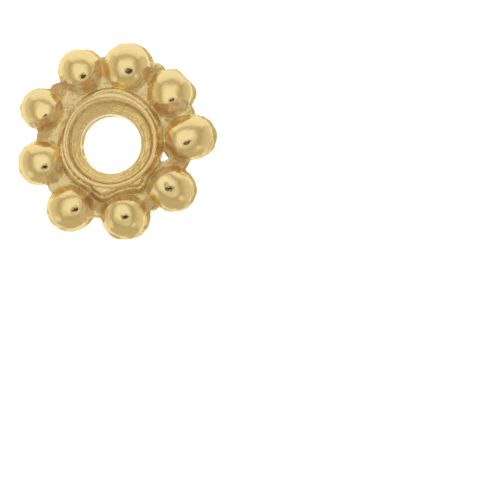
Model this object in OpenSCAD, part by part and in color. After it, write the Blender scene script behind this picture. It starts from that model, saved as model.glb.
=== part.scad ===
// Flower spacer bead: nine domed petals in a ring round a funnelled collar, one plated casting.
// Millimetres. The bore's axis is Z, the middle plane of the casting is z = 0.

/* [Bore] */
// Diameter of the straight part of the threading hole
bore_d = 2.6; // [2.3:0.05:2.7]
// Length of the straight part of the hole
bore_land = 0.4; // [0.3:0.05:0.5]

/* [Collar] */
// Height of the rim above the middle plane, on each side
rim_top = 0.9; // [0.85:0.05:1]
// Diameter of the rim, at the middle of its flat crest
rim_d = 4.06; // [4:0.02:4.12]
// Width of the rim's flat crest
rim_flat = 0.12; // [0.08:0.02:0.14]
// Diameter over the low shoulder round the rim
shoulder_d = 4.8; // [4.76:0.02:4.88]
// Height of the shoulder above the middle plane
shoulder_top = 0.64; // [0.6:0.02:0.7]

/* [Petals] */
// Height of a full petal's crown above the middle plane, on each side
petal_top = 0.72; // [0.66:0.02:0.8]
// Sideways step of the back half of the mould, along X
mould_step_x = 0.15; // [0:0.05:0.2]
// Sideways step of the back half of the mould, along Y
mould_step_y = 0.05; // [0:0.05:0.1]

/* [Web] */
// Thickness of the plate that joins the petals
web_t = 0.3; // [0.26:0.02:0.36]
// Width of the plate where it runs out between two petals
bridge_w = 0.95; // [0.85:0.05:1]

/* [Hidden] */
$fn = 96;
gold = [0.86, 0.72, 0.42];

// One row for each petal, round the bore: angle, distance from the bore's axis, radius, share of full height
PETALS = [
    [4, 3.60, 1.00, 0.98],
    [41.5, 3.60, 1.01, 1.00],
    [78.5, 3.62, 1.05, 1.02],
    [112.5, 3.65, 0.97, 1.00],
    [152.5, 3.55, 0.92, 0.96],
    [194.5, 3.28, 0.98, 0.98],
    [237, 3.50, 1.01, 1.00],
    [279.5, 3.38, 1.00, 1.02],
    [321.5, 3.47, 0.97, 1.00]
];

// One row for each notch between two petals: angle, distance from the bore's axis to the bottom of the notch
NOTCHES = [
    [23, 3.90],
    [59.5, 4.20],
    [96, 4.00],
    [134, 3.85],
    [171.5, 3.32],
    [216.5, 3.45],
    [259, 3.35],
    [302, 3.55],
    [343.5, 3.53]
];

// The corners of the small hole that the metal left open in the web beside the collar
CASTING_HOLE = [[2.30, -0.30], [2.20, -0.78], [2.58, -0.74]];

bore_r = bore_d / 2;
rim_r = rim_d / 2;
shoulder_r = shoulder_d / 2;
web_r = 3.3;          // the round part of the web
lip_w = 0.1;          // the small raised lip round the mouth of the bore
lip_h = 0.05;
floor_r = 1.88;       // where the funnel's sloping floor meets the rim's steep inner wall
floor_top = 0.46;
groove_r = 2.2;       // the narrow groove between the rim and the shoulder
groove_z = shoulder_top - 0.05;
shoulder_flat = 0.08;
shoulder_bevel = 0.05;
foot_r = shoulder_r + 0.12;
band_h = 0.12;        // half the height of a petal's straight side, along the parting plane
skirt_spread = 0.2;   // how far a petal's sloping foot spreads at the middle plane
skirt_rise = 0.2;     // how far the foot climbs above the web
skirt_narrowing = 0.8;
parting_overlap = 0.03;
far = 10;

// Half of the section through collar and web, from the bore outwards, on the side given by s = 1 or s = -1
function half_section(s) = [
    [bore_r, s * bore_land / 2],
    [bore_r + lip_w, s * (bore_land / 2 + lip_h)],
    [bore_r + 2 * lip_w, s * bore_land / 2],
    [floor_r, s * floor_top],
    [rim_r - rim_flat / 2, s * rim_top],
    [rim_r + rim_flat / 2, s * rim_top],
    [groove_r, s * groove_z],
    [shoulder_r - shoulder_flat, s * shoulder_top],
    [shoulder_r, s * (shoulder_top - shoulder_bevel)],
    [foot_r, s * web_t / 2],
    [web_r, s * web_t / 2]
];

function reversed(list) = [for (i = [len(list) - 1 : -1 : 0]) list[i]];

// The collar with its funnels, and the round part of the web
module collar_and_web() {
    rotate_extrude() polygon(concat(half_section(-1), reversed(half_section(1))));
}

// The web's outer parts, which end in the notches between the petals
module bridges() {
    for (notch = NOTCHES)
        rotate(notch[0])
            translate([foot_r, -bridge_w / 2, -web_t / 2])
                cube([notch[1] - foot_r, bridge_w, web_t]);
}

// One half of a petal: a straight band along the mould's parting plane, and a cap of a sphere on it
module half_petal(r, h) {
    cap_h = h - band_h;
    sphere_r = (r * r + cap_h * cap_h) / (2 * cap_h);
    rotate_extrude()
        intersection() {
            translate([0, h - sphere_r]) circle(sphere_r);
            translate([0, -parting_overlap]) square([r, far]);
        }
}

// The sloping foot where a petal rises from the web
module skirt(r) {
    cylinder(h = web_t / 2 + skirt_rise, r1 = r + skirt_spread, r2 = r * skirt_narrowing);
}

// All that one half of the mould forms outside the collar
module half_flower() {
    for (petal = PETALS)
        rotate(petal[0])
            translate([petal[1], 0, 0])
                half_petal(petal[2], petal[3] * petal_top);
    intersection() {
        cylinder(h = rim_top, r = web_r);
        for (petal = PETALS)
            rotate(petal[0]) translate([petal[1], 0, 0]) skirt(petal[2]);
    }
}

module flower_spacer_bead() {
    color(gold)
        difference() {
            union() {
                collar_and_web();
                bridges();
                half_flower();
                translate([mould_step_x, mould_step_y, 0]) mirror([0, 0, 1]) half_flower();
            }
            cylinder(h = far, d = bore_d, center = true);
            translate([0, 0, -far / 2]) linear_extrude(far) polygon(CASTING_HOLE);
        }
}

flower_spacer_bead();
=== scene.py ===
import math
from collections import namedtuple

import bpy
import numpy as np
from mathutils import Matrix, Vector, noise


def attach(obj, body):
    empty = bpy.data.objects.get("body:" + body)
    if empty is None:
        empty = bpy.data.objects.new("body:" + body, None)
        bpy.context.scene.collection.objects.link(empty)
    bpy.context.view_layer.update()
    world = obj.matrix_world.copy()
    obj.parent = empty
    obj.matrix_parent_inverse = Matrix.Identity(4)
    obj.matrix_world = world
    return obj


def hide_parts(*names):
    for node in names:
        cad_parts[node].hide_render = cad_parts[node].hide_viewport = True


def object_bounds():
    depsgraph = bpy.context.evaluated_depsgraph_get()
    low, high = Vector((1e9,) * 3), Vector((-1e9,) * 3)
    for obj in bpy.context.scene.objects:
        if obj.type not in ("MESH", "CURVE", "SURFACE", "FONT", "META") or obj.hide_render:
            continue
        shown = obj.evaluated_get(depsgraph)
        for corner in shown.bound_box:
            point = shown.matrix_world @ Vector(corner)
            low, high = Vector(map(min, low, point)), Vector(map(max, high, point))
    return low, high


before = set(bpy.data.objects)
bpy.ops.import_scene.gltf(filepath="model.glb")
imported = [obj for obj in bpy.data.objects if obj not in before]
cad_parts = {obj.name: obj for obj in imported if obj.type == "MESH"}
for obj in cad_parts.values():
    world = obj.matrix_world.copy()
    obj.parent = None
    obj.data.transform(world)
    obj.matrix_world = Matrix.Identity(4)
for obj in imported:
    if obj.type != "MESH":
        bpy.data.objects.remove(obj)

cad_low, cad_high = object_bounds()

# The bead's lengths are in millimetres, in the frame's own axes. They become metres where meshes are made
MM = 0.001
NODE = "flower_spacer_bead"
PIECE = "flower_spacer_bead_cast"

# Radius of the web's round part
WEB_R = 3.30
# Heights above the middle plane: of a full petal's crown, and of the rim
PETAL_TOP = 0.74
RIM_TOP = 0.90
# How far to one side the back half of the mould stood
MOULD_STEP = (0.15, 0.05)
# The bore's middle and radius in each half
BORE_FRONT = (0.00, -0.03, 1.345)
BORE_BACK = (0.07, -0.07, 1.325)

# A petal: angle, distance from the bore's axis, radius, share of full height, shift of the crown along x and
# y, width of its foot beside the usual, phase of the waves in its edge
Petal = namedtuple("Petal", "angle distance radius share crown_x crown_y wide phase")
PETALS = [
    Petal(4.0, 3.60, 1.00, 0.98, -0.30, -0.18, 1.07, 0.3),
    Petal(41.5, 3.60, 1.01, 1.00, 0.01, -0.35, 1.00, 1.1),
    Petal(78.5, 3.62, 1.05, 1.02, 0.05, -0.13, 1.00, 2.0),
    Petal(112.5, 3.65, 0.97, 1.00, 0.10, -0.19, 0.98, 2.9),
    Petal(152.5, 3.55, 0.92, 0.96, 0.21, -0.27, 1.00, 3.7),
    Petal(194.5, 3.28, 0.98, 0.98, 0.16, -0.08, 1.00, 4.4),
    Petal(237.0, 3.48, 0.99, 1.00, 0.25, 0.09, 0.99, 5.2),
    Petal(279.5, 3.40, 0.98, 1.02, -0.05, 0.18, 1.00, 6.1),
    Petal(321.5, 3.47, 0.95, 1.00, -0.33, 0.33, 1.08, 7.0),
]
# The straight side that the petal at 41.5 degrees has: direction it faces, distance from the bore's axis
FLAT_SIDE = (43.0, 4.42)

# A row for each notch between two petals: angle, distance from the bore's axis to its bottom
NOTCHES = [
    (23.0, 3.90),
    (59.5, 4.20),
    (96.0, 4.00),
    (134.0, 3.79),
    (171.5, 3.32),
    (216.5, 3.45),
    (259.0, 3.35),
    (302.0, 3.55),
    (345.0, 3.48),
]
# The strip of web that runs out to a notch: where it starts, and half its width
BRIDGE_START = 2.5
BRIDGE_HALF_WIDTH = 0.40

# The corners of the small hole in the web, where the metal did not run
CASTING_HOLE = [(2.31, -0.29), (2.17, -0.74), (2.25, -0.85), (2.56, -0.76), (2.57, -0.66)]

# The section of funnel and rim, from the bore outwards: distance from the axis, height
RIM = [
    (1.30, 0.19),
    (1.36, 0.22),
    (1.50, 0.28),
    (1.70, 0.35),
    (1.84, 0.42),
    (1.90, 0.64),
    (1.945, 0.81),
    (1.99, 0.88),
    (2.04, 0.90),
    (2.09, 0.88),
    (2.13, 0.78),
]
# The section on outwards, with the low shoulder and without it, as on the sides where it did not fill
SHOULDER = [
    (2.16, 0.60),
    (2.19, 0.53),
    (2.23, 0.58),
    (2.27, 0.57),
    (2.32, 0.47),
    (2.43, 0.17),
    (6.00, 0.15),
]
NO_SHOULDER = [
    (2.17, 0.45),
    (2.24, 0.23),
    (2.34, 0.17),
    (6.00, 0.15),
]
SECTION_END = 6.0
SECTION_STEP = 0.005
# How far the section's corners are rounded, in steps
SECTION_BLUR = 3

# In each pair of limits below, a soft change starts at the first value and is full at the second

# A row for each side where the shoulder is low: angle, how much of it is missing
LOW_SIDES = [(352.0, 0.7), (146.0, 0.9)]
# Limits of such a side, as cosines of the angle from its middle
LOW_SIDE_COSINES = (0.75, 0.97)
# A row for each place where rim or shoulder bulges: angle, by how much, half its width in degrees, and the
# distances from the axis where the bulge starts and where it is full
BULGES = [
    (85.0, 0.09, 42.0, 1.93, 2.08),
    (82.0, 0.02, 38.0, 2.12, 2.25),
    (165.0, -0.06, 45.0, 2.12, 2.25),
    (262.0, 0.25, 20.0, 2.12, 2.25),
    (303.0, 0.20, 14.0, 2.12, 2.25),
]
# How much nearer the bore the rim stands on one side, and which way that is
RIM_SHIFT = 0.07
RIM_SHIFT_TOWARD = math.radians(130)
# Limits of the shift: as cosines of the angle from that way, and as distances from the axis
RIM_SHIFT_COSINES = (-0.2, 0.8)
RIM_SHIFT_START = (1.45, 1.80)
RIM_SHIFT_END = (2.35, 2.12)
# A row for each wave by which the rings are out of round: waves to a turn, height, phase
RING_WAVES = [(2, 0.012, 1.0), (5, 0.007, 0.4)]

# A length too small to matter, which keeps divisions from failing
TINY = 1e-6


def smooth_min(a, b, k):
    """The lower of two fields, blended over a width k."""
    h = np.maximum(k - np.abs(a - b), 0) / k
    return np.minimum(a, b) - h * h * k / 4


def smooth_max(a, b, k):
    """The higher of two fields, blended over a width k."""
    return -smooth_min(-a, -b, k)


def smooth_step(start, full, x):
    """From 0 to 1 as x goes from start to full."""
    t = np.clip((x - start) / (full - start), 0, 1)
    return t * t * (3 - 2 * t)


def placed(degrees, distance):
    """The place at this angle and distance from the bore's axis."""
    a = math.radians(degrees)
    return distance * math.cos(a), distance * math.sin(a)


def turned(x, y, degrees):
    """How far each point is along the direction at this angle, and across it."""
    a = math.radians(degrees)
    return x * math.cos(a) + y * math.sin(a), -x * math.sin(a) + y * math.cos(a)


def rounded_section(points):
    """Height at each SECTION_STEP from the axis, with the section's corners rounded."""
    r = np.arange(0, SECTION_END, SECTION_STEP)
    h = np.interp(r, [p[0] for p in points], [p[1] for p in points])
    reach = 3 * SECTION_BLUR
    kernel = np.exp(-0.5 * (np.arange(-reach, reach + 1) / SECTION_BLUR) ** 2)
    padded = np.pad(h, reach, mode="edge")
    return r, np.convolve(padded, kernel / kernel.sum(), mode="valid")


SECTION_R, SECTION_FULL = rounded_section(RIM + SHOULDER)
SECTION_BARE = rounded_section(RIM + NO_SHOULDER)[1]


def section_place(x, y):
    """Where each point lies along the collar's section. The rings are not quite round."""
    r = np.hypot(x, y)
    theta = np.arctan2(y, x)
    place = r
    for count, height, phase in RING_WAVES:
        place = place + height * np.sin(count * theta + phase)
    toward = smooth_step(*RIM_SHIFT_COSINES, np.cos(theta - RIM_SHIFT_TOWARD))
    place = place + RIM_SHIFT * toward * smooth_step(*RIM_SHIFT_START, r) * smooth_step(*RIM_SHIFT_END, r)
    for angle, push, width, start, full in BULGES:
        off = np.degrees(np.abs(np.angle(np.exp(1j * (theta - math.radians(angle))))))
        place = place - push * smooth_step(width, 0, off) * smooth_step(start, full, r)
    return place


def collar_field(x, y, z):
    """The collar, funnel and web, with no underside."""
    theta = np.arctan2(y, x)
    place = section_place(x, y)
    full = np.interp(place, SECTION_R, SECTION_FULL)
    bare = np.interp(place, SECTION_R, SECTION_BARE)
    filled = 1
    for angle, missing in LOW_SIDES:
        filled = filled - missing * smooth_step(*LOW_SIDE_COSINES, np.cos(theta - math.radians(angle)))
    height = bare + (full - bare) * filled
    ahead = SECTION_STEP * 2
    slope_full = np.interp(place + ahead, SECTION_R, SECTION_FULL) - full
    slope_bare = np.interp(place + ahead, SECTION_R, SECTION_BARE) - bare
    slope = (slope_bare + (slope_full - slope_bare) * filled) / ahead
    return (z - height) / np.sqrt(1 + slope * slope)


# How far the web stands out round a petal, and the widths over which its outline blends
WEB_MARGIN = 0.02
WEB_BLEND = 0.3
BRIDGE_BLEND = 0.15


def web_outline(x, y):
    """The web's outline seen from the front, with its notches between the petals."""
    field = np.hypot(x, y) - WEB_R
    for petal in PETALS:
        middle_x, middle_y = placed(petal.angle, petal.distance)
        foot = np.hypot(x - middle_x, y - middle_y) - petal.radius - WEB_MARGIN
        field = smooth_min(field, foot, WEB_BLEND)
    side_angle, side_distance = FLAT_SIDE
    field = smooth_max(field, turned(x, y, side_angle)[0] - side_distance, BRIDGE_BLEND)
    for angle, reach in NOTCHES:
        along, across = turned(x, y, angle)
        past = np.maximum(along - (reach - BRIDGE_HALF_WIDTH), 0) + np.minimum(along - BRIDGE_START, 0)
        field = smooth_min(field, np.hypot(past, across) - BRIDGE_HALF_WIDTH, BRIDGE_BLEND)
    return field


# Slope of a dome at its outer edge, and how far it stands above the parting plane there
CAP_ANGLE = math.radians(51)
CAP_BAND = 0.16
# For a cap of radius 1: the radius of the sphere that it is cut from, and its height
CAP_SPHERE = 1 / math.sin(CAP_ANGLE)
CAP_DROP = CAP_SPHERE - math.sqrt(CAP_SPHERE ** 2 - 1)
# Steepness of a petal's flank, and how far its foot is from the petal's middle on each side, in radii
FLANK_ANGLE = math.radians(51)
FOOT_IN = 1.25
FOOT_SIDE = 1.18
FOOT_OUT = 1.50
# Cosines of the direction from a petal's middle, over which the foot changes outwards and towards the bore
OUTER_COSINES = (0.0, 0.5)
INNER_COSINES = (0.0, 1.0)
# A row for each wave in a petal's edge: waves to a turn, height in radii, phase beside the petal's own
EDGE_WAVES = [(2, 0.012, 1.0), (3, 0.010, 2.3)]
# How much further out the upright side stands where the flank cuts the dome, in radii
SIDE_CLEARANCE = 0.3
# Widths over which a petal's surfaces blend, and over which its cap is kept from being too short
SIDE_BLEND = 0.06
FLANK_BLEND = 0.05
REACH_BLEND = 0.2


def cap(t):
    """Height of a cap of a sphere, from 1 at its crown to 0 at its edge, and its slope.

    It runs on straight past the edge."""
    inside = np.minimum(t, 1)
    level = np.sqrt(CAP_SPHERE ** 2 - inside ** 2)
    slope = -inside / level / CAP_DROP
    height = (level - (CAP_SPHERE - CAP_DROP)) / CAP_DROP + slope * (t - inside)
    return height, slope


def petal_field(x, y, z, petal):
    """One half of a petal: a cap with its crown to one side, cut to a steep flank but for its outer side.

    Gives the field, how far the cap's field is above the flank's, and each point's share of the way from the
    crown to the cap's edge. Cap and flank are equal along the dome's edge."""
    middle_x, middle_y = placed(petal.angle, petal.distance)
    x = x - middle_x
    y = y - middle_y
    along, across = turned(x, y, petal.angle)
    turn = np.arctan2(across, along)
    outward = np.cos(turn)
    inward = smooth_step(*INNER_COSINES, -outward)
    aside = 1 - smooth_step(*OUTER_COSINES, outward)
    wave = 1
    for count, depth, phases in EDGE_WAVES:
        wave = wave + depth * np.sin(count * turn + phases * petal.phase)
    edge = petal.radius * wave
    off_x = x - petal.crown_x
    off_y = y - petal.crown_y
    off = np.maximum(np.hypot(off_x, off_y), TINY)
    ahead = (petal.crown_x * off_x + petal.crown_y * off_y) / off
    reach = np.sqrt(edge ** 2 - petal.crown_x ** 2 - petal.crown_y ** 2 + ahead ** 2) - ahead
    reach = smooth_max(reach, petal.radius, REACH_BLEND)
    rise = petal.share * PETAL_TOP - CAP_BAND
    height, slope = cap(off / reach)
    dome = (z - CAP_BAND - rise * height) / np.hypot(1, rise * slope / reach)
    foot_side = FOOT_SIDE * petal.wide
    foot_in = FOOT_IN * petal.wide
    foot = edge * (FOOT_OUT + (foot_side - FOOT_OUT) * aside + (foot_in - foot_side) * inward)
    distance = np.hypot(x, y)
    flank = (distance - foot) * math.sin(FLANK_ANGLE) + z * math.cos(FLANK_ANGLE)
    upright = distance - edge * (1 + SIDE_CLEARANCE * aside)
    field = smooth_max(smooth_max(dome, upright, SIDE_BLEND), flank, FLANK_BLEND)
    return field, dome - flank, off / reach


# Distance from a petal's middle past which it changes nothing, and a field that lies outside everything
PETAL_NEAR = 2.0
OUTSIDE = 5.0
PETAL_BLEND = 0.10
# Limits of a petal in its field, and of a dome on the way from its crown to its cap's edge
ON_PETAL = (0.12, 0.05)
DOME_END = (1.04, 0.98)
# Difference of cap and flank over which a dome's polish ends, and over which the ridge along its edge rises
EDGE_SOFTNESS = 0.012
RIDGE_SOFTNESS = 0.013


def petals_field(x, y, z):
    """All petals together, where their smooth domes are, and where the ridges along the domes' edges are."""
    field = np.full(np.shape(x), OUTSIDE)
    dome = np.zeros(np.shape(x))
    ridge = np.zeros(np.shape(x))
    for petal in PETALS:
        middle_x, middle_y = placed(petal.angle, petal.distance)
        near = np.hypot(x - middle_x, y - middle_y) < PETAL_NEAR
        part, over_flank, way = petal_field(x[near], y[near], z[near], petal)
        field[near] = smooth_min(field[near], part, PETAL_BLEND)
        on_petal = smooth_step(*ON_PETAL, part)
        polished = smooth_step(-EDGE_SOFTNESS, EDGE_SOFTNESS, over_flank) * smooth_step(*DOME_END, way)
        dome[near] = np.maximum(dome[near], on_petal * polished)
        ridge[near] = np.maximum(ridge[near], on_petal * np.exp(-(over_flank / RIDGE_SOFTNESS) ** 2))
    return field, dome, ridge


# Width of the fillet between petals and web, and how far the web's edge is rounded
FILLET = 0.09
WEB_EDGE = 0.06


def half_field(x, y, z):
    """What one half of the mould forms, for z at and above the parting plane."""
    raised = smooth_min(collar_field(x, y, z), petals_field(x, y, z)[0], FILLET)
    return smooth_max(raised, web_outline(x, y), WEB_EDGE)


# A field that lies inside everything, and how far the casting hole's corners are rounded
INSIDE = -9.0
HOLE_CORNER = 0.06


def hole_outline(x, y):
    """The casting hole seen from the front: inside is negative."""
    field = np.full(np.shape(x), INSIDE)
    count = len(CASTING_HOLE)
    for k in range(count):
        (x0, y0), (x1, y1) = CASTING_HOLE[k], CASTING_HOLE[(k + 1) % count]
        length = math.hypot(x1 - x0, y1 - y0)
        side = ((x - x0) * (y1 - y0) - (y - y0) * (x1 - x0)) / length
        field = smooth_max(field, side, HOLE_CORNER)
    return field


def bore_outline(x, y, bore):
    """A bore seen from the front: inside is negative."""
    middle_x, middle_y, radius = bore
    return np.hypot(x - middle_x, y - middle_y) - radius


# Half the height over which the two halves blend, and how far the edges of bore and casting hole are rounded
PARTING_BLUR = 0.035
BORE_EDGE = 0.03
HOLE_EDGE = 0.05


def bead_field(x, y, z):
    """Below zero inside the bead. The back half of the mould stood a little to one side."""
    front = half_field(x, y, z)
    back = half_field(x - MOULD_STEP[0], y - MOULD_STEP[1], -z)
    share = smooth_step(-PARTING_BLUR, PARTING_BLUR, z)
    field = back + (front - back) * share
    bore_front = bore_outline(x, y, BORE_FRONT)
    bore_back = bore_outline(x, y, BORE_BACK)
    field = smooth_max(field, -(bore_back + (bore_front - bore_back) * share), BORE_EDGE)
    return smooth_max(field, -hole_outline(x, y), HOLE_EDGE)


# The grid on which the bead's surface is found
GRID_STEP = 0.0484
GRID_LOW = (-4.35, -4.60, -0.99)
GRID_HIGH = (4.95, 4.90, 0.99)


def sampled_field():
    """The field at every corner of the grid, one layer at a time."""
    axes = [np.arange(low, high, GRID_STEP) for low, high in zip(GRID_LOW, GRID_HIGH)]
    x, y = np.meshgrid(axes[0], axes[1], indexing="ij")
    layers = [bead_field(x, y, np.full_like(x, z)) for z in axes[2]]
    return axes, np.stack(layers, axis=2)


# The corners of a grid cell, and its edges as pairs of corners
CORNERS = [(i, j, k) for i in (0, 1) for j in (0, 1) for k in (0, 1)]
EDGES = [(a, b) for a in range(8) for b in range(a + 1, 8)
         if sum(abs(p - q) for p, q in zip(CORNERS[a], CORNERS[b])) == 1]


def cell_points(axes, values, cell):
    """A point in each of these grid cells: the mean of the places where the surface crosses its edges."""
    corner_values = [values[cell[:, 0] + i, cell[:, 1] + j, cell[:, 2] + k] for i, j, k in CORNERS]
    total = np.zeros((len(cell), 3))
    count = np.zeros(len(cell))
    for a, b in EDGES:
        value_a, value_b = corner_values[a], corner_values[b]
        crossed = (value_a < 0) != (value_b < 0)
        t = np.where(crossed, value_a / np.where(crossed, value_a - value_b, 1), 0)
        point = np.array(CORNERS[a]) + t[:, None] * (np.array(CORNERS[b]) - np.array(CORNERS[a]))
        total += point * crossed[:, None]
        count += crossed
    first_corner = np.array([axis[0] for axis in axes])
    return first_corner + (cell + total / count[:, None]) * GRID_STEP


def surface_net(axes, values):
    """A quad mesh with one point in each grid cell that the surface crosses."""
    inside = values < 0
    cells = [values.shape[d] - 1 for d in range(3)]
    corner_sum = sum(inside[i:i + cells[0], j:j + cells[1], k:k + cells[2]].astype(np.int8)
                     for i, j, k in CORNERS)
    crossed = (corner_sum > 0) & (corner_sum < 8)
    cell = np.argwhere(crossed)
    index = np.full(crossed.shape, -1)
    index[crossed] = np.arange(len(cell))
    quads = []
    for axis in range(3):
        one, two = (axis + 1) % 3, (axis + 2) % 3
        low = np.take(inside, range(0, inside.shape[axis] - 1), axis)
        high = np.take(inside, range(1, inside.shape[axis]), axis)
        edge = np.argwhere(low != high)
        outward = low[edge[:, 0], edge[:, 1], edge[:, 2]]
        around = []
        for back_one, back_two in ((1, 1), (0, 1), (0, 0), (1, 0)):
            at = edge.copy()
            at[:, one] -= back_one
            at[:, two] -= back_two
            around.append(index[at[:, 0], at[:, 1], at[:, 2]])
        loop = np.stack(around, axis=1)
        quads.append(np.where(outward[:, None], loop, loop[:, ::-1]))
    return cell_points(axes, values, cell), np.concatenate(quads)


# Half the distance over which the field's slope is measured
GRADIENT_STEP = 0.004


def gradient(p):
    """The field's slope along each axis."""
    out = np.empty_like(p)
    for axis in range(3):
        shift = np.zeros(3)
        shift[axis] = GRADIENT_STEP
        ahead = bead_field(*(p + shift).T)
        behind = bead_field(*(p - shift).T)
        out[:, axis] = (ahead - behind) / (2 * GRADIENT_STEP)
    return out


# A smaller square of the slope counts as this much
LEAST_SLOPE = 0.05


def onto_surface(p, rounds):
    """Moves points along the field's slope until they lie on the bead's surface."""
    for _ in range(rounds):
        slope = gradient(p)
        steep = np.maximum((slope ** 2).sum(1), LEAST_SLOPE)
        move = bead_field(*p.T)[:, None] * slope / steep[:, None]
        length = np.linalg.norm(move, axis=1, keepdims=True)
        p = p - move * np.minimum(1, GRID_STEP / np.maximum(length, TINY))
    return p


def evened(p, quads):
    """Each point moved to the middle of its neighbours."""
    a = quads.ravel()
    b = np.roll(quads, -1, axis=1).ravel()
    total = np.zeros_like(p)
    for axis in range(3):
        total[:, axis] = np.bincount(a, p[b, axis], len(p)) + np.bincount(b, p[a, axis], len(p))
    count = np.bincount(a, minlength=len(p)) + np.bincount(b, minlength=len(p))
    return total / count[:, None]


# How far the petals' field is below the plate's where a point belongs to a petal
PETAL_LEAD = (-0.05, 0.12)


def surface_shares(p):
    """For each point, from 0 to 1, how much it belongs to a petal, to its dome and to the dome's ridge.

    And where it lies along the collar's section."""
    x, y, z = p.T
    back = z < 0
    x = np.where(back, x - MOULD_STEP[0], x)
    y = np.where(back, y - MOULD_STEP[1], y)
    up = np.abs(z)
    petals, dome, ridge = petals_field(x, y, up)
    plate = collar_field(x, y, up)
    petal = smooth_step(*PETAL_LEAD, plate - petals)
    return petal, petal * dome, petal * ridge, section_place(x, y)


# How far apart in the noise two seeds lie
SEED_STEP = 17.3


def lumps(p, length, seed):
    """Lumps about length long at each point, from -1 to 1, the same in every run."""
    return np.array([noise.noise(at) for at in (p / length + SEED_STEP * seed).tolist()])


# A row for each coppery spot, partly stain and partly painted shade where the web lies deep between petals:
# angle, distance from the bore's axis, radius, strength
STAINS_AND_SHADE = [
    (355, 2.38, 0.18, 0.9),
    (2, 2.85, 0.25, 0.9),
    (352, 2.80, 0.28, 0.9),
    (22, 2.92, 0.28, 0.9),
    (59, 3.60, 0.45, 0.8),
    (96, 3.50, 0.40, 0.7),
    (134, 3.50, 0.50, 0.8),
    (171, 3.15, 0.35, 0.8),
    (188, 2.70, 0.25, 0.9),
    (33, 2.72, 0.30, 0.8),
    (68, 3.20, 0.30, 0.6),
    (109, 2.79, 0.30, 0.6),
    (127, 3.17, 0.35, 0.6),
    (143, 3.03, 0.25, 0.4),
    (165, 3.00, 0.35, 0.7),
    (181, 2.65, 0.22, 0.8),
    (216, 2.95, 0.25, 0.4),
    (255, 2.80, 0.40, 0.8),
    (262, 2.95, 0.30, 1.0),
    (300, 3.35, 0.38, 0.8),
    (305, 2.60, 0.30, 0.3),
    (320, 2.30, 0.30, 0.3),
    (343, 3.15, 0.45, 1.0),
    (346, 2.55, 0.28, 0.5),
]
# Where a spot of stain and painted shade starts and where it is full, in its radii
STAIN_AND_SHADE_START = 1.5
STAIN_AND_SHADE_FULL = 0.4


def stains_and_shade(p):
    """How strongly each point has the coppery spots of stain and painted shade, from 0 to 1."""
    strongest = np.zeros(len(p))
    for angle, distance, radius, strength in STAINS_AND_SHADE:
        middle_x, middle_y = placed(angle, distance)
        off = np.hypot(p[:, 0] - middle_x, p[:, 1] - middle_y)
        share = smooth_step(STAIN_AND_SHADE_START * radius, STAIN_AND_SHADE_FULL * radius, off)
        strongest = np.maximum(strongest, strength * share)
    return strongest


# A row for each petal, in the order of their table: place of the flat beside the petal's middle, which way
# the flat lies in degrees, and how much less curved it is along that way and across it, per millimetre
CROWN_FLATS = [
    (-0.09, -0.34, 45.0, -0.10, -0.25),
    (0.11, -0.53, 15.0, 0.20, 0.00),
    (0.15, -0.33, 30.0, 0.22, 0.38),
    (0.17, -0.40, 20.0, 0.36, 0.44),
    (0.21, -0.48, 25.0, 0.20, -0.10),
    (0.23, -0.35, 0.0, 0.20, -0.10),
    (0.32, -0.20, 5.0, 0.15, -0.20),
    (0.12, -0.07, 12.0, 0.25, -0.40),
    (-0.04, 0.02, 30.0, 0.10, -0.25),
]
# Distances from a flat's middle: where it starts and where it is full
FLAT_REACH = 0.42
FLAT_FULL = 0.3 * FLAT_REACH
# How much smoother a flat is than the rest of the dome. Only the front's domes have flats
FLAT_CALM = 0.65
FRONT_HEIGHT = (0.0, 0.3)


def crown_flats(x, y):
    """How far each point is on a crown's flat, from 0 to 1, and how far the flats raise it."""
    on_flat = np.zeros(len(x))
    raised = np.zeros(len(x))
    for petal, (place_x, place_y, way, less_along, less_across) in zip(PETALS, CROWN_FLATS):
        middle_x, middle_y = placed(petal.angle, petal.distance)
        along, across = turned(x - middle_x - place_x, y - middle_y - place_y, way)
        near = smooth_step(FLAT_REACH, FLAT_FULL, np.hypot(along, across))
        on_flat = np.maximum(on_flat, near)
        raised += near * (less_along * along ** 2 + less_across * across ** 2) / 2
    return on_flat, raised


# Rows of the casting's lumps: length, height. First on the cast parts, then on the smoother domes
CAST_LUMPS = [(0.46, 0.036), (0.21, 0.024), (0.11, 0.019)]
DOME_LUMPS = [(0.70, 0.012), (0.30, 0.005), (0.11, 0.0020)]
# Lumps longer than this are coarse
COARSE_LENGTH = 0.3
# The share of the coarse lumps' height that is left on the collar
COLLAR_COARSE = 0.35
# Distances from the axis where the collar's parts start and end
THROAT_START = (1.42, 1.36)
FUNNEL_START = (1.42, 1.52)
FUNNEL_END = (1.90, 1.84)
WALL_START = (1.80, 1.86)
WALL_END = (1.99, 1.94)
CREST_START = (1.92, 1.97)
CREST_END = (2.30, 2.20)
WEB_START = (2.2, 2.5)
# How much smoother than the web they are
THROAT_CALM = 0.85
WALL_CALM = 0.7
CREST_CALM = 0.65
# Height of the fine ridge along a dome's edge
RIDGE_HEIGHT = 0.014
# The funnel's turned ripples: height, length, how far they sway and how often in a turn
RIPPLE_HEIGHT = 0.011
RIPPLE_LENGTH = 0.12
RIPPLE_SWAY = 0.9
RIPPLE_SWAYS = 3
# Their height comes in patches: its mean share, how far it varies, the patches' length and the noise's seed
RIPPLE_MEAN = 0.7
RIPPLE_VARIES = 1.2
RIPPLE_PATCH = 0.35
RIPPLE_SEED = 9


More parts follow.
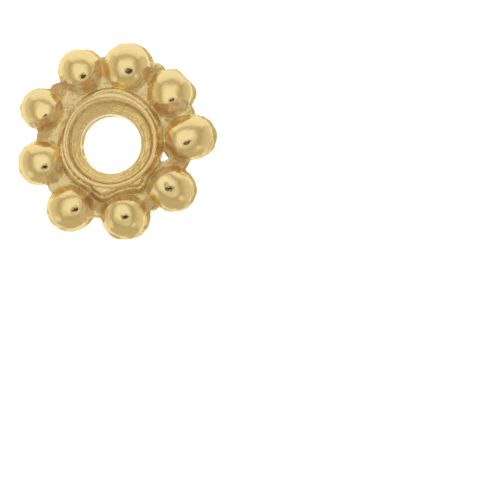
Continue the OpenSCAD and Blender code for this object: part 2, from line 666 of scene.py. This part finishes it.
def relief(p, dome, ridge, ring):
    """How far the cast surface stands out from the plain form at each point."""
    x, y, z = p.T
    crest = smooth_step(*CREST_START, ring) * smooth_step(*CREST_END, ring)
    throat = smooth_step(*THROAT_START, ring)
    wall = smooth_step(*WALL_START, ring) * smooth_step(*WALL_END, ring)
    rough = (1 - dome) * (1 - ridge)
    rough = rough * (1 - CREST_CALM * crest) * (1 - THROAT_CALM * throat) * (1 - WALL_CALM * wall)
    coarse = COLLAR_COARSE + (1 - COLLAR_COARSE) * smooth_step(*WEB_START, ring)
    total = np.zeros(len(p))
    for seed, (length, height) in enumerate(CAST_LUMPS):
        share = rough * coarse if length > COARSE_LENGTH else rough
        total += share * height * lumps(p, length, seed)
    on_flat, raised = crown_flats(x, y)
    front = smooth_step(*FRONT_HEIGHT, z)
    total += front * dome * raised
    for seed, (length, height) in enumerate(DOME_LUMPS, len(CAST_LUMPS)):
        total += dome * (1 - FLAT_CALM * on_flat * front) * height * lumps(p, length, seed)
    total += RIDGE_HEIGHT * ridge
    funnel = smooth_step(*FUNNEL_START, ring) * smooth_step(*FUNNEL_END, ring)
    sway = RIPPLE_SWAY * np.sin(RIPPLE_SWAYS * np.arctan2(y, x))
    ripple = np.sin(2 * math.pi * ring / RIPPLE_LENGTH + sway)
    patches = RIPPLE_MEAN + RIPPLE_VARIES * lumps(p, RIPPLE_PATCH, RIPPLE_SEED)
    total += funnel * RIPPLE_HEIGHT * patches * ripple
    return total


# Curvature, per millimetre, at which an edge counts as fully worn bright and a hollow as fully darkened by
# painted shade
FULL_WEAR_AND_SHADE = 9.0
# Limits of the band along the parting line, which gets a painted highlight, as heights on each side
PARTING_HIGHLIGHT_BAND = (0.17, 0.09)
# How often the points are evened out and moved back onto the surface
EVENING_ROUNDS = 2


def add_attribute(mesh, name, values):
    """Gives each point of the mesh a number, for the material."""
    made = mesh.attributes.new(name, "FLOAT", "POINT")
    made.data.foreach_set("value", values.astype(np.float32))


def bead_mesh():
    """The bead's surface, with attributes for the material."""
    axes, values = sampled_field()
    points, quads = surface_net(axes, values)
    points = onto_surface(points, rounds=2)
    for _ in range(EVENING_ROUNDS):
        points = onto_surface(evened(points, quads), rounds=1)
    points = onto_surface(points, rounds=2)
    petal, dome, ridge, ring = surface_shares(points)
    slope = gradient(points)
    outward = slope / np.linalg.norm(slope, axis=1, keepdims=True)
    # The band along the parting line, which gets a painted highlight
    parting = petal * smooth_step(*PARTING_HIGHLIGHT_BAND, np.abs(points[:, 2]))
    points = points + outward * relief(points, dome, ridge, ring)[:, None]
    points[:, 2] = np.clip(points[:, 2], -RIM_TOP, RIM_TOP)
    bend = ((points - evened(points, quads)) * outward).sum(1) / GRID_STEP ** 2
    mesh = bpy.data.meshes.new(PIECE)
    mesh.from_pydata(points * MM, [], quads)
    mesh.polygons.foreach_set("use_smooth", np.ones(len(quads), bool))
    add_attribute(mesh, "petal", petal)
    add_attribute(mesh, "dome", dome)
    add_attribute(mesh, "ring", ring)
    # Coppery spots of stain and painted shade
    add_attribute(mesh, "stain_and_shade", stains_and_shade(points))
    add_attribute(mesh, "parting", parting)
    # Curvature: worn bright on edges, and painted shade in hollows
    add_attribute(mesh, "wear_and_hollow_shade", np.clip(0.5 + 0.5 * bend / FULL_WEAR_AND_SHADE, 0, 1))
    return mesh


bead = bpy.data.objects.new(PIECE, bead_mesh())
bpy.context.scene.collection.objects.link(bead)
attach(bead, "root")
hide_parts(NODE)


def node(tree, kind, **settings):
    """A new node of this kind, with its settings made."""
    made = tree.nodes.new(kind)
    for key, value in settings.items():
        setattr(made, key, value)
    return made


def calc(tree, operation, first, second=None, third=None):
    """A Math node's result. Inputs are numbers or sockets."""
    made = node(tree, "ShaderNodeMath", operation=operation)
    for socket, value in zip(made.inputs, (first, second, third)):
        if value is None:
            continue
        if isinstance(value, (int, float)):
            socket.default_value = value
        else:
            tree.links.new(value, socket)
    return made.outputs[0]


def ramp(tree, value, low, high, to_low=0.0, to_high=1.0):
    """A smooth change from to_low to to_high as value goes from low to high."""
    made = node(tree, "ShaderNodeMapRange", interpolation_type="SMOOTHSTEP")
    tree.links.new(value, made.inputs["Value"])
    for name, number in (("From Min", low), ("From Max", high), ("To Min", to_low), ("To Max", to_high)):
        made.inputs[name].default_value = number
    return made.outputs["Result"]


def between(tree, share, low, high):
    """The number this share of the way from low to high, which are numbers or sockets."""
    if isinstance(low, (int, float)) and isinstance(high, (int, float)):
        return calc(tree, "MULTIPLY_ADD", share, high - low, low)
    return calc(tree, "MULTIPLY_ADD", share, calc(tree, "SUBTRACT", high, low), low)


def mixed(tree, share, first, second):
    """The colour this share of the way from first to second, which are triples or sockets."""
    made = node(tree, "ShaderNodeMix", data_type="RGBA")
    tree.links.new(share, made.inputs["Factor"])
    colours = [socket for socket in made.inputs if socket.type == "RGBA"]
    for socket, colour in zip(colours, (first, second)):
        if isinstance(colour, tuple):
            socket.default_value = (*colour, 1)
        else:
            tree.links.new(colour, socket)
    return next(socket for socket in made.outputs if socket.type == "RGBA")


def length_of(tree, x, y):
    """The length of the line that goes x one way and y across it."""
    squares = calc(tree, "ADD", calc(tree, "POWER", x, 2), calc(tree, "POWER", y, 2))
    return calc(tree, "SQRT", squares)


def split_up(tree, vector):
    """A vector's x, y and z."""
    split = node(tree, "ShaderNodeSeparateXYZ")
    tree.links.new(vector, split.inputs[0])
    return split.outputs


# Gold plating: bright on the domes and where it is worn, duller on the cast parts, darker in their hollows
# and on the rim's inner wall as painted shade, paler in the bore and along the parting line as painted
# highlights, and copper in patches on the web and the petals' flanks, partly tarnish and partly painted
# shade where the web lies deep between the petals

GOLD = (1.0, 0.785, 0.36)
FUNNEL_GOLD = (1.0, 0.745, 0.315)
# Painted shade: the rim's steep inner wall has a darker gold
WALL_SHADE_GOLD = (0.62, 0.51, 0.29)
CREST_GOLD = (1.0, 0.79, 0.42)
# Painted highlight: the pale gold of the band along the parting line
PARTING_HIGHLIGHT_GOLD = (1.0, 0.88, 0.60)
# Painted highlight: the pale gold inside the bore
BORE_HIGHLIGHT_GOLD = (1.0, 0.90, 0.62)
CAST_GOLD = (0.84, 0.66, 0.30)
FLANK_GOLD = (0.97, 0.75, 0.43)
OLIVE_GOLD = (0.84, 0.68, 0.37)
# Painted shade: the dark gold of the cast parts' hollows
HOLLOW_SHADE_GOLD = (0.66, 0.50, 0.26)
# Copper, for tarnish and for the painted shade where the web lies deep between petals
COPPER_GOLD = (0.76, 0.50, 0.24)
WEB_COPPER = (0.66, 0.44, 0.16)

# Distances from the axis where the colours of bore, crest and web start. The bore's paler gold is a painted
# highlight
BORE_HIGHLIGHT_TONE = (1.39, 1.35)
CREST_TONE = (1.93, 1.98)
WEB_TONE = (2.15, 2.35)

# Noise patterns: waves to a millimetre, detail, roughness, seed
GRAIN = (13, 3, 0.6, 0.0)
PATCHES = (1.9, 4, 0.62, 0.0)
OLIVE = (1.1, 2, 0.5, 3.7)
OLIVE_EDGE = (0.44, 0.56)

# Wear at which an edge is bright, and curvature at which a hollow is darkened by painted shade. Flat parts
# have 0.5
WORN_EDGE = (0.52, 0.85)
HOLLOW_SHADE_EDGE = (0.48, 0.1)
# How much of the brightness the petals' worn edges have
PETAL_WEAR = 0.2

# Copper shows where the patches' noise passes its edge. The spots of stain and painted shade, and the
# petals, raise the noise
COPPER_EDGE = (0.53, 0.72)
STAIN_AND_SHADE_WEIGHT = 0.36
PETAL_WEIGHT = 0.03
# The collar has less copper than the web, which starts here
COLLAR_COPPER = 0.4
COPPER_START = (2.1, 2.4)
# How metallic the tarnished parts and the spots of painted shade still look
TARNISH_AND_SHADE_METAL = 0.62

POLISHED_ROUGHNESS = 0.06
WORN_ROUGHNESS = 0.13
FLANK_ROUGHNESS = 0.15
CAST_ROUGHNESS = 0.24
# How much rougher the patches are
PATCH_ROUGHNESS = 0.04
PATCH_EDGE = (0.4, 0.7)

# Height of the fine grain, and its strength on the domes and on the cast parts
GRAIN_HEIGHT = 0.02
DOME_GRAIN = 0.36
CAST_GRAIN = 0.96


def pattern(tree, scale, detail, roughness, seed):
    """Noise that is fixed to the bead."""
    made = node(tree, "ShaderNodeTexNoise", noise_dimensions="4D")
    tree.links.new(node(tree, "ShaderNodeTexCoord").outputs["Object"], made.inputs["Vector"])
    for name, number in (("W", seed), ("Scale", scale / MM), ("Detail", detail), ("Roughness", roughness)):
        made.inputs[name].default_value = number
    return made.outputs["Fac"]


def attribute(tree, name):
    """The number that the mesh's points have under this name."""
    return node(tree, "ShaderNodeAttribute", attribute_name=name).outputs["Fac"]


def gold_material():
    """The plating, as the mesh's attributes and a few noise patterns have it at each place."""
    material = bpy.data.materials.new("gold_plate")
    material.use_nodes = True
    tree = material.node_tree
    shader = tree.nodes["Principled BSDF"]
    petal = attribute(tree, "petal")
    dome = attribute(tree, "dome")
    ring = attribute(tree, "ring")
    wear_and_hollow_shade = attribute(tree, "wear_and_hollow_shade")
    patches = pattern(tree, *PATCHES)
    cast = calc(tree, "SUBTRACT", 1.0, dome)

    not_wall = calc(tree, "MAXIMUM", ramp(tree, ring, *WALL_START, 1.0, 0.0), ramp(tree, ring, *CREST_TONE))
    bright = calc(tree, "MULTIPLY", ramp(tree, wear_and_hollow_shade, *WORN_EDGE), calc(tree, "MULTIPLY", cast, not_wall))
    bright = calc(tree, "MULTIPLY", bright, ramp(tree, petal, 0.0, 1.0, 1.0, PETAL_WEAR))
    # Painted shade: the cast parts' hollows are darkened
    hollow_shade = calc(tree, "MULTIPLY", ramp(tree, wear_and_hollow_shade, *HOLLOW_SHADE_EDGE), cast)
    # Coppery spots, partly tarnish and partly painted shade, raise the patches' noise
    stained_and_shaded = calc(tree, "MULTIPLY_ADD", attribute(tree, "stain_and_shade"), STAIN_AND_SHADE_WEIGHT, patches)
    stained_and_shaded = calc(tree, "MULTIPLY_ADD", petal, PETAL_WEIGHT, stained_and_shaded)
    beyond_rim = ramp(tree, ring, *COPPER_START, COLLAR_COPPER, 1.0)
    copper = calc(tree, "MULTIPLY", ramp(tree, stained_and_shaded, *COPPER_EDGE), beyond_rim)

    # The funnel's gold, darkened on the rim's inner wall as painted shade
    colour = mixed(tree, ramp(tree, ring, *WALL_START), FUNNEL_GOLD, WALL_SHADE_GOLD)
    colour = mixed(tree, ramp(tree, ring, *CREST_TONE), colour, CREST_GOLD)
    colour = mixed(tree, ramp(tree, ring, *WEB_TONE), colour, CAST_GOLD)
    olive = ramp(tree, pattern(tree, *OLIVE), *OLIVE_EDGE)
    colour = mixed(tree, petal, colour, mixed(tree, olive, FLANK_GOLD, OLIVE_GOLD))
    # Copper: tarnish, and painted shade where the web lies deep between petals
    colour = mixed(tree, copper, colour, mixed(tree, petal, WEB_COPPER, COPPER_GOLD))
    # Painted shade in the hollows
    colour = mixed(tree, hollow_shade, colour, HOLLOW_SHADE_GOLD)
    colour = mixed(tree, bright, colour, GOLD)
    colour = mixed(tree, dome, colour, GOLD)
    # Painted highlight along the parting line
    colour = mixed(tree, attribute(tree, "parting"), colour, PARTING_HIGHLIGHT_GOLD)
    # Painted highlight in the bore
    colour = mixed(tree, ramp(tree, ring, *BORE_HIGHLIGHT_TONE), colour, BORE_HIGHLIGHT_GOLD)
    tree.links.new(colour, shader.inputs["Base Color"])

    tarnish_and_shade = calc(tree, "MULTIPLY", calc(tree, "MAXIMUM", petal, copper), cast)
    metal = calc(tree, "MULTIPLY_ADD", tarnish_and_shade, TARNISH_AND_SHADE_METAL - 1, 1.0)
    tree.links.new(metal, shader.inputs["Metallic"])

    rough = calc(tree, "MULTIPLY_ADD", petal, FLANK_ROUGHNESS - CAST_ROUGHNESS, CAST_ROUGHNESS)
    rough = calc(tree, "MULTIPLY_ADD", dome, POLISHED_ROUGHNESS - FLANK_ROUGHNESS, rough)
    rough = between(tree, bright, rough, WORN_ROUGHNESS)
    rough = calc(tree, "MULTIPLY_ADD", ramp(tree, patches, *PATCH_EDGE), PATCH_ROUGHNESS, rough)
    tree.links.new(rough, shader.inputs["Roughness"])

    bump = node(tree, "ShaderNodeBump")
    bump.inputs["Distance"].default_value = GRAIN_HEIGHT * MM
    tree.links.new(between(tree, cast, DOME_GRAIN, CAST_GRAIN), bump.inputs["Strength"])
    tree.links.new(pattern(tree, *GRAIN), bump.inputs["Height"])
    tree.links.new(bump.outputs["Normal"], shader.inputs["Normal"])
    return material


bead.data.materials.append(gold_material())

# White floor, which glows a little so that it stays white in the bore too

FLOOR_Z = cad_low.z
FLOOR_HALF = 0.5
FLOOR_WHITE = (0.9, 0.9, 0.9, 1)
# How bright the floor glows round the bead, and in the bore
FLOOR_GLOW = 0.40
BORE_GLOW = 0.70
BORE_GLOW_START = (1.7 * MM, 1.3 * MM)
# What the glow changes by far out
FAR_CHANGE = -0.10
FAR_START = (6 * MM, 16 * MM)
# The least glow that the camera sees
SEEN_GLOW = 0.9


def floor_material():
    material = bpy.data.materials.new("floor")
    material.use_nodes = True
    tree = material.node_tree
    shader = tree.nodes["Principled BSDF"]
    shader.inputs["Base Color"].default_value = FLOOR_WHITE
    shader.inputs["Roughness"].default_value = 1.0
    shader.inputs["Specular IOR Level"].default_value = 0.0
    shader.inputs["Emission Color"].default_value = (1, 1, 1, 1)
    place = split_up(tree, node(tree, "ShaderNodeTexCoord").outputs["Object"])
    off_axis = length_of(tree, place["X"], place["Y"])
    glow = calc(tree, "ADD", ramp(tree, off_axis, *BORE_GLOW_START, FLOOR_GLOW, BORE_GLOW),
                ramp(tree, off_axis, *FAR_START, 0.0, FAR_CHANGE))
    seen = node(tree, "ShaderNodeLightPath").outputs["Is Camera Ray"]
    glow = calc(tree, "MAXIMUM", glow, calc(tree, "MULTIPLY", seen, SEEN_GLOW))
    tree.links.new(glow, shader.inputs["Emission Strength"])
    return material


def floor():
    sheet = bpy.data.meshes.new("floor")
    corners = [(-1, -1), (1, -1), (1, 1), (-1, 1)]
    sheet.from_pydata([(x * FLOOR_HALF, y * FLOOR_HALF, FLOOR_Z) for x, y in corners], [], [(0, 1, 2, 3)])
    sheet.materials.append(floor_material())
    made = bpy.data.objects.new("floor", sheet)
    bpy.context.scene.collection.objects.link(made)


floor()

# The camera stands where the photographer's did: up from the bead, a little below it and to its right

VIEW_TILT = math.radians(13)
VIEW_AZIMUTH = math.radians(30)
# Of the photograph: a pixel's size at the bead, the focal length, the picture's side, the bead's place
PIXEL_MM = 0.0457
FOCAL_PX = 1018
IMAGE_PX = 500
BEAD_PX = (111.5, 144.2)
# Width of the sensor in millimetres
SENSOR_WIDTH = 36
# The nearest and farthest that the camera sees, in metres
CLIP_START = 0.001
CLIP_END = 2


def camera():
    """Makes the camera and gives the direction in which it stands from the bead."""
    data = bpy.data.cameras.new("camera")
    data.sensor_width = SENSOR_WIDTH
    data.lens = SENSOR_WIDTH * FOCAL_PX / IMAGE_PX
    data.clip_start = CLIP_START
    data.clip_end = CLIP_END
    made = bpy.data.objects.new("camera", data)
    bpy.context.scene.collection.objects.link(made)
    to_camera = Vector((math.sin(VIEW_TILT) * math.sin(VIEW_AZIMUTH),
                        -math.sin(VIEW_TILT) * math.cos(VIEW_AZIMUTH), math.cos(VIEW_TILT)))
    made.location = to_camera * FOCAL_PX * PIXEL_MM * MM
    half = IMAGE_PX / 2
    to_bead = Vector((BEAD_PX[0] - half, half - BEAD_PX[1], -FOCAL_PX)).normalized()
    right = Vector((0, 1, 0)).cross(to_camera).normalized()
    aim = Matrix((right, to_camera.cross(right), to_camera)).transposed().to_quaternion()
    made.rotation_mode = "QUATERNION"
    made.rotation_quaternion = aim @ to_bead.rotation_difference(Vector((0, 0, -1)))
    bpy.context.scene.camera = made
    return to_camera


to_camera = camera()

# A light tent: a bright square of ceiling, dimmer walls, gaps at its front corners, and the dark lens

# Places on the ceiling are offsets east and north for each unit up
CEILING_MIDDLE = (-0.14, 0.19)
CEILING_REACH = (1.04, 1.12)
# How far the ceiling's corners are rounded
CEILING_CORNER = 0.5
# A direction that goes up by less than this counts as going up by this much
LEAST_UP = 0.02
CEILING_LIGHT = 0.88
# Share of the way to the ceiling's edge over which its light falls to the walls'
CEILING_FADE = (0.40, 1.0)

BACK_LIGHT = 0.76
SIDE_LIGHT = 0.575
FRONT_LIGHT = 0.515
# How much brighter the walls are at their feet, and up to which height
FOOT_SHARE = 1.20
FOOT_HEIGHT = (0.0, 0.6)
# How far forward the front wall's corners are for each unit aside. The back wall's are as far back as aside
FRONT_CORNER = 0.85
BACK_EDGE = (-0.05, 0.05)
FRONT_EDGE = (-0.03, 0.03)

# The seams along the ceiling: their light, and where they end past its edge, at the sides and at both ends
SEAM_LIGHT = 0.46
SIDE_SEAM = (1.0, 2.0)
END_SEAM = (1.0, 1.35)
# How bright the seams at the tent's upright corners are beside its walls, and where they end
CORNER_SHARE = 0.78
CORNER_SEAM = (0.02, 0.07)

# A row for each gap at the tent's front corners: the direction towards it, half its width
GAPS = [(-0.81, -0.49, 0.32, 0.17), (0.65, -0.54, 0.53, 0.15)]
GAP_LIGHT = 0.80
# Where a gap starts and where it is full, in its half widths
GAP_START = 1.3
GAP_FULL = 0.7

# The lens: its light, half its length and half its width, how far it is turned, and its limits in these
LENS_LIGHT = 0.045
LENS_REACH = (0.29, 0.19)
LENS_TURN = math.radians(22)
LENS_EDGE = (1.15, 0.85)

# Colour of the tent's dimmest parts. The brightest are white
DIM_COLOUR = (1.0, 0.92, 0.74)
WHITE = (1.0, 1.0, 1.0)
WHITE_START = (0.42, 0.86)
# What the camera sees behind the floor
SEEN_LIGHT = 1.0


def off_ceiling(tree, place, middle, reach):
    """How far a place is from the ceiling's middle, with 1 at its edge."""
    off = calc(tree, "ABSOLUTE", calc(tree, "SUBTRACT", place, middle))
    return calc(tree, "DIVIDE", off, reach)


def wall_light(tree, x, y, z, out):
    """The light of the walls and their seams. Out is each direction's distance from the ceiling's middle."""
    width = calc(tree, "ABSOLUTE", x)
    past_back = calc(tree, "SUBTRACT", y, width)
    forward = calc(tree, "MULTIPLY", y, -1)
    past_front = calc(tree, "SUBTRACT", forward, calc(tree, "MULTIPLY", width, FRONT_CORNER))
    back = ramp(tree, past_back, *BACK_EDGE)
    front = ramp(tree, past_front, *FRONT_EDGE)
    foot = ramp(tree, z, *FOOT_HEIGHT, FOOT_SHARE, 1.0)
    wall = calc(tree, "MULTIPLY", between(tree, back, SIDE_LIGHT, BACK_LIGHT), foot)
    wall = between(tree, front, wall, FRONT_LIGHT)
    at_end = calc(tree, "MAXIMUM", back, front)
    past_seam = between(tree, at_end, ramp(tree, out, *SIDE_SEAM), ramp(tree, out, *END_SEAM))
    wall = between(tree, past_seam, SEAM_LIGHT, wall)
    to_corner = calc(tree, "MINIMUM", calc(tree, "ABSOLUTE", past_back), calc(tree, "ABSOLUTE", past_front))
    return calc(tree, "MULTIPLY", wall, ramp(tree, to_corner, *CORNER_SEAM, CORNER_SHARE, 1.0))


def gap_share(tree, toward, gap):
    """How far each direction lies in a gap, from 0 to 1."""
    gap_x, gap_y, gap_z, half_width = gap
    middle = node(tree, "ShaderNodeCombineXYZ")
    for socket, value in zip(middle.inputs, Vector((gap_x, gap_y, gap_z)).normalized()):
        socket.default_value = value
    apart = node(tree, "ShaderNodeVectorMath", operation="DISTANCE")
    tree.links.new(toward, apart.inputs[0])
    tree.links.new(middle.outputs[0], apart.inputs[1])
    return ramp(tree, apart.outputs["Value"], half_width * GAP_START, half_width * GAP_FULL)


def lens_share(tree, east, north):
    """How far each direction lies on the lens, from 0 to 1. It is an oval, turned a little."""
    east = calc(tree, "SUBTRACT", east, to_camera.x / to_camera.z)
    north = calc(tree, "SUBTRACT", north, to_camera.y / to_camera.z)
    cosine, sine = math.cos(LENS_TURN), math.sin(LENS_TURN)
    along = calc(tree, "MULTIPLY_ADD", east, cosine, calc(tree, "MULTIPLY", north, sine))
    across = calc(tree, "MULTIPLY_ADD", north, cosine, calc(tree, "MULTIPLY", east, -sine))
    along = calc(tree, "DIVIDE", along, LENS_REACH[0])
    across = calc(tree, "DIVIDE", across, LENS_REACH[1])
    return ramp(tree, length_of(tree, along, across), *LENS_EDGE)


def light_tent():
    """The world round the bead, which the camera sees only as light and reflections on it."""
    world = bpy.data.worlds.new("light_tent")
    bpy.context.scene.world = world
    world.use_nodes = True
    tree = world.node_tree
    background = tree.nodes["Background"]
    toward = node(tree, "ShaderNodeTexCoord").outputs["Generated"]
    x, y, z = split_up(tree, toward)
    up = calc(tree, "MAXIMUM", z, LEAST_UP)
    east = calc(tree, "DIVIDE", x, up)
    north = calc(tree, "DIVIDE", y, up)
    off_east = off_ceiling(tree, east, CEILING_MIDDLE[0], CEILING_REACH[0])
    off_north = off_ceiling(tree, north, CEILING_MIDDLE[1], CEILING_REACH[1])
    out = calc(tree, "SMOOTH_MAX", off_east, off_north, CEILING_CORNER)
    wall = wall_light(tree, x, y, z, out)
    for gap in GAPS:
        wall = between(tree, gap_share(tree, toward, gap), wall, GAP_LIGHT)
    light = between(tree, ramp(tree, out, *CEILING_FADE), CEILING_LIGHT, wall)
    light = between(tree, lens_share(tree, east, north), light, LENS_LIGHT)
    seen = node(tree, "ShaderNodeLightPath").outputs["Is Camera Ray"]
    light = between(tree, seen, light, SEEN_LIGHT)
    tree.links.new(light, background.inputs["Strength"])
    tint = mixed(tree, ramp(tree, light, *WHITE_START), DIM_COLOUR, WHITE)
    tree.links.new(tint, background.inputs["Color"])


light_tent()

scene = bpy.context.scene
scene.view_settings.view_transform = "Standard"
scene.view_settings.look = "None"
scene.cycles.use_denoising = True
scene.cycles.max_bounces = 12
scene.cycles.glossy_bounces = 8
